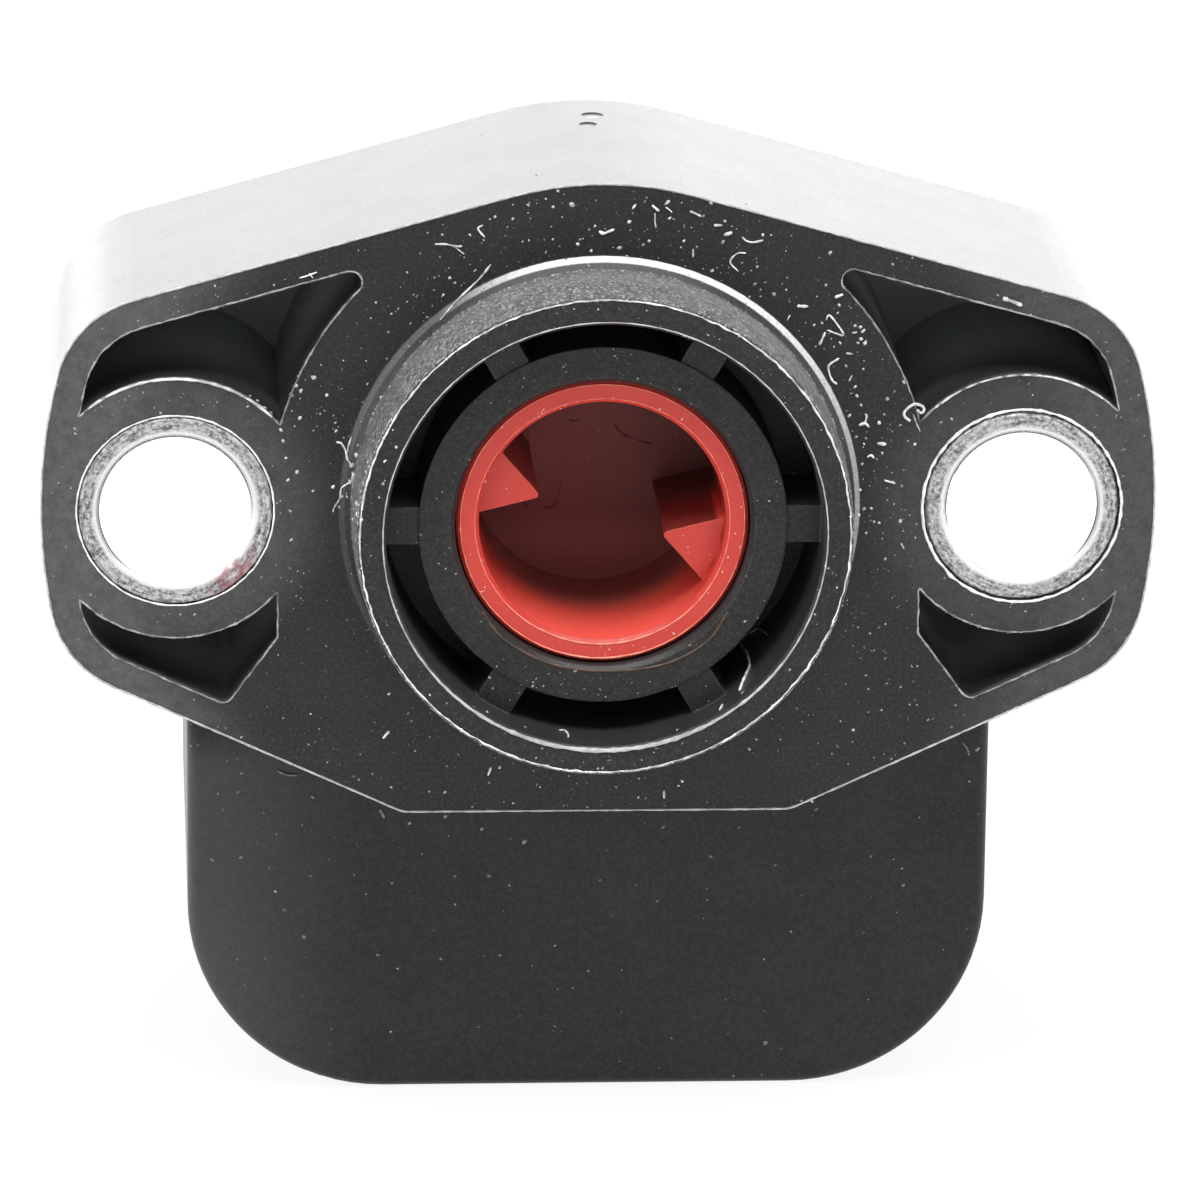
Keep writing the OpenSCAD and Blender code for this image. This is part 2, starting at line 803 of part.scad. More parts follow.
module terminal_rivet(index) {
    color(steel) stand() {
        rivet_shank(index, rivet_r, board_back + lap);
        translate([(index - 2) * eye_pitch, -eye_drop, 0]) disc(rivet_head_r, board_back, board_back + rivet_head_t);
    }
}

// Cover with a skirt that presses the board down and a blind bearing for the rotor's pilot
module rear_cover() {
    skirt_r = board_seat_r - board_clearance;
    skirt_wall = 0.8;
    boss_outer_r = 2.7;
    boss_gap = 0.15;
    pilot_end_gap = 0.1;
    color(black_plastic) stand() difference() {
        union() {
            disc(cover_seat_r - cover_clearance, cover_top, cover_back);
            difference() {
                disc(skirt_r, board_back, cover_top + lap);
                disc(skirt_r - skirt_wall, board_back - overrun, cover_top + overrun);
            }
            disc(boss_outer_r, board_back + boss_gap, cover_top + lap);
        }
        disc(pilot_r + running_gap, board_back - overrun, pilot_end + pilot_end_gap);
    }
}

// Bead of sealant between the cover and the wall of its seat
module cover_sealant() {
    bead_w = 1.1;
    color("dimgray") stand() difference() {
        disc(cover_seat_r, cover_back, cover_back + sealant_t);
        disc(cover_seat_r - bead_w, cover_back - overrun, cover_back + sealant_t + overrun);
    }
}

housing();
bushing_left();
bushing_right();
rotor();
thrust_washer();
return_spring();
wiper_carrier();
wiper_plate();
wiper_brush_outer();
wiper_brush_inner();
circuit_board();
resistive_track();
collector_track();
terminal(1);  // terminal_1
terminal(2);  // terminal_2
terminal(3);  // terminal_3
terminal_rivet(1);  // terminal_rivet_1
terminal_rivet(2);  // terminal_rivet_2
terminal_rivet(3);  // terminal_rivet_3
rear_cover();
cover_sealant();
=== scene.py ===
import bisect
import json
import math
import random

import bmesh
import bpy
from mathutils import Matrix, Vector, noise
from mathutils.bvhtree import BVHTree


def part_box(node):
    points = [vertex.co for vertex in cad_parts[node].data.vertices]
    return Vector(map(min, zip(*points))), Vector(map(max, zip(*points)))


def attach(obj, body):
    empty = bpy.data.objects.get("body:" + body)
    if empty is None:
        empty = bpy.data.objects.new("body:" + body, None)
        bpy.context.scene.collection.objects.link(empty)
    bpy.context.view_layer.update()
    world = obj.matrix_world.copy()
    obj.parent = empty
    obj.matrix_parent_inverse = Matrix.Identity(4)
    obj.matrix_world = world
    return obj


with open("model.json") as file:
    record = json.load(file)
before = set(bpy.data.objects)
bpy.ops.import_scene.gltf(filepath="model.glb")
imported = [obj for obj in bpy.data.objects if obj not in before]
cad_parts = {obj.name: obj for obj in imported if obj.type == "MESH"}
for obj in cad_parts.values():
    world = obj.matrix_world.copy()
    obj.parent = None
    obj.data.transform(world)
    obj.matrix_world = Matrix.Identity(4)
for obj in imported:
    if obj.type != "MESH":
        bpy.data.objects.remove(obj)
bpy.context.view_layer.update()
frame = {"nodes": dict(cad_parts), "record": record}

NODES = frame["nodes"]
MM = 0.001

# The camera, fitted to the photograph; pixel coordinates below are in its 1200 x 1200 frame
CAMERA_AT = Vector((-18.1787, -297.6190, 87.2758)) * MM
CAMERA_AIM = Vector((0.0449, 0.0, -3.6129)) * MM
CAMERA_ROLL = math.radians(0.6585)
CAMERA_LENS = 246.973
CAMERA_SENSOR = 36.0
PHOTO_SIZE = 1200.0
# What one pixel of the photograph covers on the part
PIXEL = 0.0378 * MM

MOUNTS = {mount["name"]: mount for mount in frame["record"]["mounts"]}
BOLT_X = MOUNTS["bolts"]["dims"]["spacing_x_mm"] / 2 * MM
BOLT_BORE_R = MOUNTS["bolts"]["dims"]["hole_r_mm"] * MM
SPIGOT_R = MOUNTS["spigot"]["dims"]["r_mm"] * MM
BUSHING_R = (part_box("bushing_left")[1].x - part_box("bushing_left")[0].x) / 2
BUSHING_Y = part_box("bushing_left")[0].y
RIM_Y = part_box("housing")[0].y
ROTOR_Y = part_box("rotor")[0].y
FLOOR_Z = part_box("housing")[0].z
FACE_Y = 0.0
FRONT = Vector((0, -1, 0))
# Lines just inside the flange's outline: degrees from upright, and distance from the rotor axis in mm
POCKET_LIMITS = [(15.6, 12.0), (45.4, 18.2), (128.2, 18.6), (155.2, 13.4)]
# Where the pockets lie besides: depth and distance from the rotor axis, and the height that they stay above
POCKET_DEPTHS = (0.5 * MM, 11.5 * MM)
POCKET_RADII = (12.3 * MM, 20.4 * MM)
POCKET_BOTTOM = -11.2 * MM
# The marks of the moulding gate on the crown: height, depth and distance from the middle
GATE_HEIGHTS = (12.3 * MM, 12.52 * MM)
GATE_DEPTHS = (8.8 * MM, 11.7 * MM)
GATE_REACH = 0.8 * MM

# Softboxes around the part: place, width, height and radiance
LAMP_AIM = Vector((0, 0, 0))
LAMPS = {
    "back_softbox": ((0.0, 0.62, 0.19), 1.5, 0.42, 4.1),
    "overhead_softbox": ((0.0, -0.235, 0.55), 0.7, 0.20, 10.5),
    "left_softbox": ((-0.6, 0.09, 0.12), 0.45, 0.4, 6.5),
    "right_softbox": ((0.6, 0.09, 0.12), 0.45, 0.4, 4.5),
}

# Fibres on the black faces: half width in mm, then the pixels that each passes through
FIBRES = {
    "crown_fork": (0.055, [(435, 244), (446, 244), (455, 246), (462, 246)]),
    "crown_fork_branch": (0.035, [(454, 246), (459, 250), (464, 254)]),
    "crown_hook": (0.045, [(483, 225), (478, 228), (481, 233), (485, 237)]),
    "long_straight": (0.045, [(491, 264), (479, 279), (457, 301), (440, 321)]),
    "crown_thick": (0.075, [(599, 231), (604, 233), (614, 229)]),
    "crown_tick_1": (0.045, [(632, 209), (636, 204)]),
    "crown_tick_2": (0.075, [(652, 205), (659, 211)]),
    "crown_drop": (0.035, [(655, 213), (655, 222), (656, 228)]),
    "crown_tick_3": (0.045, [(666, 207), (672, 212)]),
    "crown_tick_4": (0.045, [(668, 219), (671, 217)]),
    "crown_tick_5": (0.06, [(690, 211), (701, 216)]),
    "crown_tick_6": (0.075, [(714, 225), (722, 225)]),
    "crown_tick_7": (0.075, [(724, 235), (732, 232)]),
    "crown_curve": (0.05, [(742, 237), (747, 241), (754, 242), (763, 240)]),
    "crown_curl": (0.04, [(746, 253), (738, 253), (731, 259), (731, 264), (738, 271)]),
    "crown_stub": (0.045, [(693, 249), (693, 257)]),
    "right_tick_1": (0.085, [(797, 306), (808, 306)]),
    "right_tick_2": (0.045, [(787, 320), (790, 315)]),
    "right_tick_3": (0.075, [(835, 297), (843, 294)]),
    "right_loop": (0.045, [(826, 320), (829, 315), (837, 324), (843, 335), (827, 330)]),
    "right_tick_4": (0.055, [(825, 332), (822, 339), (819, 345)]),
    "right_hook": (0.05, [(839, 358), (829, 365), (829, 372), (832, 380), (837, 384)]),
    "right_dash": (0.045, [(852, 333), (857, 332)]),
    "right_dash_2": (0.045, [(846, 353), (853, 354)]),
    "right_dash_3": (0.04, [(852, 375), (849, 381)]),
    "right_fork": (0.055, [(859, 425), (865, 423), (869, 427)]),
    "right_fork_branch": (0.04, [(865, 423), (867, 415)]),
    "right_thick": (0.08, [(877, 443), (886, 444)]),
    "right_bow": (0.065, [(867, 457), (871, 455), (874, 458)]),
    "right_bar": (0.065, [(884, 480), (895, 483)]),
    "right_low": (0.06, [(901, 543), (904, 549)]),
    "left_arm": (0.055, [(336, 442), (341, 443), (345, 449), (347, 454), (348, 459), (352, 465)]),
    "left_arm_2": (0.045, [(352, 437), (349, 446), (348, 452)]),
    "left_tail": (0.05, [(349, 483), (342, 488), (341, 495), (340, 499), (337, 503)]),
    "left_end": (0.035, [(337, 503), (334, 508), (333, 512)]),
    "left_oblong": (0.075, [(313, 376), (316, 378)]),
    "low_left": (0.06, [(383, 738), (389, 731)]),
    "low_middle": (0.05, [(488, 775), (491, 767)]),
    "low_right": (0.06, [(664, 790), (664, 798)]),
    "groove_hook": (0.05, [(559, 731), (564, 731), (568, 735), (568, 738)]),
    "groove_chip": (0.05, [(720, 711), (723, 705)]),
    "groove_white": (0.07, [(741, 644), (748, 655), (750, 667), (744, 681), (740, 692)]),
    "groove_faint": (0.035, [(750, 633), (759, 629), (768, 635)]),
    "pocket_star": (0.035, [(299, 278), (306, 276), (317, 272)]),
    "pocket_star_branch": (0.03, [(309, 273), (313, 278)]),
    "pocket_crumb": (0.09, [(1003, 298), (1012, 301), (1022, 305)]),
}
# A fibre that curls over a pocket's edge in the plane of the flange face, and its tail on that face
CURL_AT_POCKET = (0.055, [
    (910, 421), (905, 417), (904, 413), (908, 408), (915, 404),
    (922, 406), (924, 410), (921, 413), (917, 410),
])
CURL_TAIL = (0.035, [(913, 414), (916, 422), (920, 431)])
# Dull fibres on the shroud's front
SHROUD_FIBRES = {
    "shroud_brown": (0.06, [(277, 770), (286, 774), (297, 775)]),
    "shroud_streak": (0.07, [(382, 811), (384, 818)]),
    "shroud_tick": (0.06, [(311, 795), (314, 798)]),
    "shroud_bow": (0.05, [(962, 742), (967, 748), (969, 755)]),
}
# Dark fibres in the rotor's socket
SOCKET_FIBRES = {
    "tang_tick": (0.035, [(524, 503), (530, 509)]),
    "floor_left": (0.035, [(570, 457), (562, 480), (555, 505), (543, 507)]),
    "floor_middle": (0.035, [(615, 425), (623, 434), (637, 440), (653, 444)]),
    "floor_top": (0.03, [(566, 419), (577, 421), (585, 415)]),
}
# The pixels that the line of grease passes through
GREASE_ROUTE = [(482, 612), (505, 640), (552, 664), (608, 671), (664, 664), (706, 642), (728, 612)]

# Bright specks that stand out one by one: pixel and width in pixels
SPECKS = {
    "crown": [
        (572, 205, 7), (495, 217, 4), (528, 205, 4), (553, 207, 4), (513, 219, 4), (546, 199, 3),
        (558, 191, 4), (578, 244, 5), (591, 251, 4), (619, 248, 5), (450, 278, 4), (443, 295, 4),
        (470, 235, 4), (668, 202, 5), (711, 203, 5), (723, 242, 5), (763, 235, 4), (771, 235, 3),
        (712, 271, 5), (684, 241, 4), (649, 241, 4), (643, 245, 4), (620, 248, 5), (629, 222, 5),
        (595, 226, 3), (725, 221, 4),
    ],
    "right": [
        (774, 294, 5), (755, 284, 4), (757, 267, 4), (830, 253, 5), (826, 285, 4), (822, 323, 4),
        (814, 325, 4), (855, 326, 4), (861, 327, 4), (863, 331, 5), (861, 339, 5), (865, 343, 5),
        (858, 343, 4), (840, 343, 4), (834, 347, 3), (846, 366, 4), (855, 387, 4), (857, 396, 5),
        (861, 405, 4), (849, 416, 5), (866, 415, 4), (887, 399, 5), (904, 382, 5), (879, 423, 5),
        (856, 437, 4), (864, 444, 3), (882, 453, 4), (862, 464, 4), (902, 486, 4), (915, 444, 4),
        (860, 490, 4), (864, 509, 5), (871, 508, 4), (859, 515, 5), (874, 522, 4), (879, 523, 4),
        (900, 521, 5), (866, 533, 4), (885, 559, 4), (839, 305, 4), (799, 306, 4),
    ],
    "left": [
        (300, 373, 4), (301, 391, 5), (327, 395, 4), (300, 418, 5), (297, 472, 5), (333, 487, 5),
        (313, 491, 4), (336, 431, 4), (339, 507, 5), (347, 497, 4), (314, 378, 5), (353, 475, 6),
        (350, 482, 6), (368, 462, 4), (366, 472, 4), (363, 483, 4), (361, 492, 5), (359, 505, 4),
        (354, 509, 5), (357, 514, 6), (353, 519, 4), (373, 414, 4), (358, 445, 4), (381, 397, 4),
        (390, 387, 4), (396, 447, 4), (385, 461, 4), (383, 484, 4), (352, 465, 8), (353, 479, 9),
        (357, 503, 8), (341, 497, 6), (356, 540, 5), (356, 455, 6), (361, 520, 5), (250, 396, 5),
        (258, 401, 6), (265, 408, 7), (271, 413, 6), (276, 421, 7), (281, 430, 5), (283, 441, 5),
        (296, 386, 5), (298, 376, 4), (292, 396, 4), (286, 458, 4), (288, 480, 4), (290, 511, 4),
        (291, 540, 4),
    ],
    "chin": [
        (389, 694, 4), (415, 751, 3), (445, 792, 4), (500, 767, 5), (487, 712, 5), (525, 727, 4),
        (682, 781, 4), (749, 749, 4), (853, 730, 4), (742, 693, 5), (677, 730, 4), (812, 801, 4),
    ],
    "shroud": [
        (198, 745, 4), (227, 761, 4), (238, 758, 4), (242, 773, 4), (218, 793, 4), (238, 792, 4),
        (264, 813, 4), (212, 859, 6), (241, 857, 6), (410, 823, 5), (446, 816, 6), (663, 827, 5),
        (977, 749, 6), (191, 746, 4), (455, 876, 5), (489, 876, 5), (525, 841, 7), (710, 856, 6),
        (775, 865, 4), (903, 885, 5), (871, 856, 4), (304, 937, 6), (378, 955, 5), (441, 959, 4),
        (500, 955, 4), (765, 1043, 6), (237, 959, 4), (392, 883, 4), (657, 901, 4), (284, 910, 4),
        (482, 829, 5), (381, 811, 5), (816, 809, 5), (455, 904, 4), (600, 880, 3),
    ],
}
# Radius of a speck as a share of its width in the photograph
SPECK_SHARE = 0.42
# The red stain on the left bushing
STAIN_PIXEL = (238, 577)
# Tries at a random crumb of dust, on faces that look at the viewer and on all others
DUST_TRIES_IN_FRONT = 15000
DUST_TRIES_ELSEWHERE = 6000
# Where fine dust gathers: pixel, reach in pixels and weight
DUST_CLOUDS = [
    ((700, 225), 75, 0.9), ((560, 215), 60, 0.4), ((845, 340), 40, 1.3), ((862, 430), 38, 1.2),
    ((880, 520), 40, 0.9), ((868, 620), 45, 0.6), ((345, 420), 38, 0.5), ((350, 500), 25, 0.8),
    ((300, 390), 30, 0.4), ((640, 285), 110, 0.5), ((800, 380), 60, 0.5), ((175, 420), 70, 0.4),
    ((280, 600), 60, 0.4), ((880, 700), 60, 0.4), ((560, 720), 90, 0.4), ((420, 330), 55, 1.4),
    ((382, 400), 45, 1.4), ((480, 285), 50, 0.8), ((365, 460), 35, 1.2), ((600, 735), 60, 0.8),
]


def camera_axes():
    """The camera's directions to the right, up and forward."""
    forward = (CAMERA_AIM - CAMERA_AT).normalized()
    right = forward.cross(Vector((0, 0, 1))).normalized()
    up = right.cross(forward)
    c, s = math.cos(CAMERA_ROLL), math.sin(CAMERA_ROLL)
    return right * c + up * s, up * c - right * s, forward


def line_of_sight(pixel):
    """The direction from the camera through a pixel of the photograph."""
    right, up, forward = camera_axes()
    focal = CAMERA_LENS / CAMERA_SENSOR * PHOTO_SIZE
    across, down = pixel[0] - PHOTO_SIZE / 2, pixel[1] - PHOTO_SIZE / 2
    return forward * focal + right * across - up * down


def make_camera():
    right, up, forward = camera_axes()
    data = bpy.data.cameras.new("camera")
    data.lens = CAMERA_LENS
    data.sensor_width = CAMERA_SENSOR
    data.clip_start = 0.01
    camera = bpy.data.objects.new("camera", data)
    turn = Matrix((right, up, -forward)).transposed().to_4x4()
    camera.matrix_world = Matrix.Translation(CAMERA_AT) @ turn
    bpy.context.scene.collection.objects.link(camera)
    bpy.context.scene.camera = camera


class Solids:
    """The CAD solids at rest, for finding what lies behind a pixel or beside a point."""

    def __init__(self):
        self.points, self.faces, self.owners = [], [], []
        for name, node in NODES.items():
            start = len(self.points)
            self.points += [vertex.co.copy() for vertex in node.data.vertices]
            for polygon in node.data.polygons:
                self.faces.append([start + i for i in polygon.vertices])
                self.owners.append(name)
        self.tree = BVHTree.FromPolygons(self.points, self.faces)

    def behind(self, pixel):
        """Point and normal of the surface that a pixel of the photograph shows."""
        point, normal, _, _ = self.tree.ray_cast(CAMERA_AT, line_of_sight(pixel).normalized())
        return point, normal

    def open_air(self, point, normal, reach):
        """Whether nothing lies in front of a surface point within the given reach."""
        return self.tree.ray_cast(point + normal * 0.01 * MM, normal, reach)[0] is None

    def level(self, point, slack=0.005 * MM):
        """Whether a surface that looks at the viewer passes through the point."""
        return self.tree.ray_cast(point + FRONT * slack, -FRONT, 2 * slack)[0] is not None


class Detail:
    """A mesh of many small closed bodies, such as threads and specks."""

    def __init__(self):
        self.points, self.faces = [], []

    def tube(self, path, ups, radii, closed=False, sides=6):
        count, first = len(path), len(self.points)
        for i, centre in enumerate(path):
            before = path[i - 1] if i or closed else centre
            after = path[(i + 1) % count] if i + 1 < count or closed else centre
            along = (after - before).normalized()
            side = along.cross(ups[i]).normalized()
            lift = side.cross(along)
            for k in range(sides):
                a = 2 * math.pi * k / sides
                self.points.append(centre + radii[i] * (math.cos(a) * side + math.sin(a) * lift))
        for i in range(count if closed else count - 1):
            a, b = first + i * sides, first + (i + 1) % count * sides
            self.faces += [(a + k, a + (k + 1) % sides, b + (k + 1) % sides, b + k) for k in range(sides)]
        if not closed:
            self.faces.append(tuple(range(first, first + sides)))
            self.faces.append(tuple(range(first + (count - 1) * sides, first + count * sides)))

    def speck(self, centre, normal, radius, rng, sides=6):
        """A flat crumb, half sunk in the surface that carries it."""
        side = normal.orthogonal().normalized()
        other = normal.cross(side)
        turn = rng.uniform(0, math.pi)
        stretch = rng.uniform(0.75, 1.35)
        first = len(self.points)
        for k in range(sides):
            a = turn + 2 * math.pi * k / sides
            reach = radius * rng.uniform(0.75, 1.2)
            around = stretch * math.cos(a) * side + math.sin(a) / stretch * other
            self.points.append(centre + reach * around)
        self.points.append(centre + normal * radius * 0.6)
        self.points.append(centre - normal * radius * 0.3)
        for k in range(sides):
            n = (k + 1) % sides
            self.faces.append((first + k, first + n, first + sides))
            self.faces.append((first + n, first + k, first + sides + 1))

    def finish(self, name, material, body, slot):
        mesh = bpy.data.meshes.new(name)
        mesh.from_pydata(self.points, [], self.faces)
        shape = bmesh.new()
        shape.from_mesh(mesh)
        bmesh.ops.recalc_face_normals(shape, faces=shape.faces)
        shape.to_mesh(mesh)
        shape.free()
        for polygon in mesh.polygons:
            polygon.use_smooth = True
        mesh.materials.append(material)
        piece = bpy.data.objects.new(name, mesh)
        bpy.context.scene.collection.objects.link(piece)
        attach(piece, body)


def smooth_path(points, step):
    """Points about a step apart on a curve through the given ones."""
    ends = [2 * points[0] - points[1], *points, 2 * points[-1] - points[-2]]
    path = []
    for i in range(1, len(ends) - 2):
        a, b, c, d = ends[i - 1:i + 3]
        count = max(2, round((c - b).length / step))
        for k in range(count):
            t = k / count
            path.append(0.5 * (2 * b + (c - a) * t + (2 * a - 5 * b + 4 * c - d) * t * t
                               + (3 * b - a - 3 * c + d) * t ** 3))
    return path + [points[-1]]


def face_loops(solids, node, y):
    """Closed loops of points around the flat parts of a node that look at the viewer at depth y."""
    mesh = NODES[node].data
    edges = []
    for polygon in mesh.polygons:
        corners = [mesh.vertices[i].co.copy() for i in polygon.vertices]
        if polygon.normal.y > -0.99 or any(abs(corner.y - y) > 0.001 * MM for corner in corners):
            continue
        for a, b in zip(corners, corners[1:] + corners[:1]):
            outward = (b - a).cross(FRONT).normalized()
            if not solids.level((a + b) / 2 + outward * 0.02 * MM):
                edges.append((a, b))
    loops = []
    while edges:
        chain = [edges.pop()]
        while edges:
            end = chain[-1][1]
            nearest = min(edges, key=lambda edge: (edge[0] - end).length)
            if (chain[0][0] - end).length <= (nearest[0] - end).length:
                break
            edges.remove(nearest)
            chain.append(nearest)
        loops.append([start for start, _ in chain])
    return loops


def loop_size(loop):
    """Middle and half width of a loop, seen from the front."""
    xs, zs = [p.x for p in loop], [p.z for p in loop]
    middle = Vector(((min(xs) + max(xs)) / 2, loop[0].y, (min(zs) + max(zs)) / 2))
    return middle, (max(xs) - min(xs)) / 2


def even_loop(loop, step):
    """The same loop counter-clockwise, with points a step apart."""
    area = sum(a.x * b.z - b.x * a.z for a, b in zip(loop, loop[1:] + loop[:1]))
    loop = loop if area > 0 else loop[::-1]
    gaps = [(b - a).length for a, b in zip(loop, loop[1:] + loop[:1])]
    count = round(sum(gaps) / step)
    even, i, walked = [], 0, 0.0
    for k in range(count):
        goal = sum(gaps) * k / count
        while walked + gaps[i] < goal:
            walked += gaps[i]
            i += 1
        even.append(loop[i].lerp(loop[(i + 1) % len(loop)], (goal - walked) / gaps[i]))
    return even


def uneven(point, size):
    """Smooth noise from -1 to 1 that changes over about the given length."""
    return noise.noise(point / size)


class Shade:
    """A material whose nodes are made and linked by name."""

    def __init__(self, name):
        self.material = bpy.data.materials.new(name)
        self.material.use_nodes = True
        self.tree = self.material.node_tree
        self.shader = self.tree.nodes["Principled BSDF"]
        self.coords = self.tree.nodes.new("ShaderNodeTexCoord").outputs["Object"]

    def node(self, kind, settings=None, **inputs):
        made = self.tree.nodes.new("ShaderNode" + kind)
        for key, value in (settings or {}).items():
            setattr(made, key, value)
        for key, value in inputs.items():
            self.put(made.inputs[key.replace("_", " ")], value)
        return made

    def put(self, socket, value):
        if isinstance(value, bpy.types.NodeSocket):
            self.tree.links.new(value, socket)
        elif isinstance(value, (tuple, list)) and socket.type == "RGBA":
            socket.default_value = (*value[:3], 1.0)
        else:
            socket.default_value = value

    def set(self, **inputs):
        for key, value in inputs.items():
            self.put(self.shader.inputs[key.replace("_", " ")], value)

    def math(self, operation, a, b=None, clamp=False):
        made = self.tree.nodes.new("ShaderNodeMath")
        made.operation = operation
        made.use_clamp = clamp
        self.put(made.inputs[0], a)
        if b is not None:
            self.put(made.inputs[1], b)
        return made.outputs[0]

    def times(self, *factors):
        product = factors[0]
        for factor in factors[1:]:
            product = self.math("MULTIPLY", product, factor)
        return product

    def noise(self, size, detail=3.0, roughness=0.55, where=None):
        made = self.node("TexNoise", Vector=where or self.coords, Scale=1 / size, Detail=detail)
        made.inputs["Roughness"].default_value = roughness
        return made.outputs["Fac"]

    def cells(self, size):
        made = self.node("TexVoronoi", {"feature": "F1"}, Vector=self.coords, Scale=1 / size)
        return made.outputs["Distance"]

    def ramp(self, value, low, high, start=0.0, end=1.0):
        made = self.node("MapRange", {"interpolation_type": "SMOOTHSTEP"}, Value=value)
        for key, number in zip(("From Min", "From Max", "To Min", "To Max"), (low, high, start, end)):
            made.inputs[key].default_value = number
        return made.outputs["Result"]

    def band(self, value, low, high, soft):
        """One between low and high, falling to zero outside over the soft width."""
        rise = self.ramp(value, low - soft, low)
        return self.times(rise, self.ramp(value, high, high + soft, 1.0, 0.0))

    def mix(self, share, a, b):
        made = self.tree.nodes.new("ShaderNodeMix")
        made.data_type = "RGBA"
        self.put(made.inputs["Factor"], share)
        self.put(made.inputs[6], a)
        self.put(made.inputs[7], b)
        return made.outputs[2]

    def bump(self, height, depth, strength=1.0, normal=None):
        made = self.node("Bump", Height=height, Distance=depth, Strength=strength)
        if normal is not None:
            self.put(made.inputs["Normal"], normal)
        return made.outputs["Normal"]

    def rounded(self, radius):
        return self.node("Bevel", {"samples": 4}, Radius=radius).outputs["Normal"]

    def edge_share(self, rounded):
        """How near an edge is, from how far the rounded normal leans off the true one."""
        dot = self.node("VectorMath", {"operation": "DOT_PRODUCT"})
        self.put(dot.inputs[0], rounded)
        self.put(dot.inputs[1], self.node("NewGeometry").outputs["Normal"])
        return self.ramp(dot.outputs["Value"], 0.72, 0.985, 1.0, 0.0)

    def facing(self):
        """How far a surface faces the viewer's side, and how far up."""
        normal = self.node("SeparateXYZ", Vector=self.node("NewGeometry").outputs["Normal"])
        return self.times(normal.outputs["Y"], -1.0), normal.outputs["Z"]

    def film(self, thickness):
        """Share of a pale film that shows, which is denser the more edge-on it is seen: dust, and painted
        glare where it is thickened on the flange's ends.
        """
        facing = self.node("LayerWeight", Blend=0.5).outputs["Facing"]
        depth = self.math("DIVIDE", thickness, self.math("SUBTRACT", 1.03, facing))
        return self.math("SUBTRACT", 1.0, self.math("EXPONENT", self.times(depth, -1.0)))

    def inside_pockets(self, across, y, z, radius):
        """One on the walls and floors of the four pockets, and zero on the flange's outer sides."""
        above = self.ramp(z, POCKET_BOTTOM, POCKET_BOTTOM + 0.2 * MM)
        inside = self.times(self.band(y, *POCKET_DEPTHS, 0.2 * MM), above)
        inside = self.times(inside, self.band(radius, *POCKET_RADII, 0.1 * MM))
        for lean, reach in POCKET_LIMITS:
            a = math.radians(lean)
            distance = self.math("ADD", self.times(across, math.sin(a)), self.times(z, math.cos(a)))
            inside = self.times(inside, self.ramp(distance, (reach - 0.1) * MM, reach * MM, 1.0, 0.0))
        return inside

    def polar(self, radius, angle_x, angle_y, stretch):
        """Coordinates that run with a circle, drawn out along it by stretch."""
        turn = self.math("ARCTAN2", angle_y, angle_x)
        along = self.times(turn, 10 * MM / stretch)
        return self.node("CombineXYZ", X=along, Y=self.axes()[1], Z=radius).outputs["Vector"]

    def axes(self):
        split = self.node("SeparateXYZ", Vector=self.coords)
        return split.outputs["X"], split.outputs["Y"], split.outputs["Z"]

    def hypot(self, a, b):
        return self.math("SQRT", self.math("ADD", self.times(a, a), self.times(b, b)))


def grey(level):
    return (level, level, level)


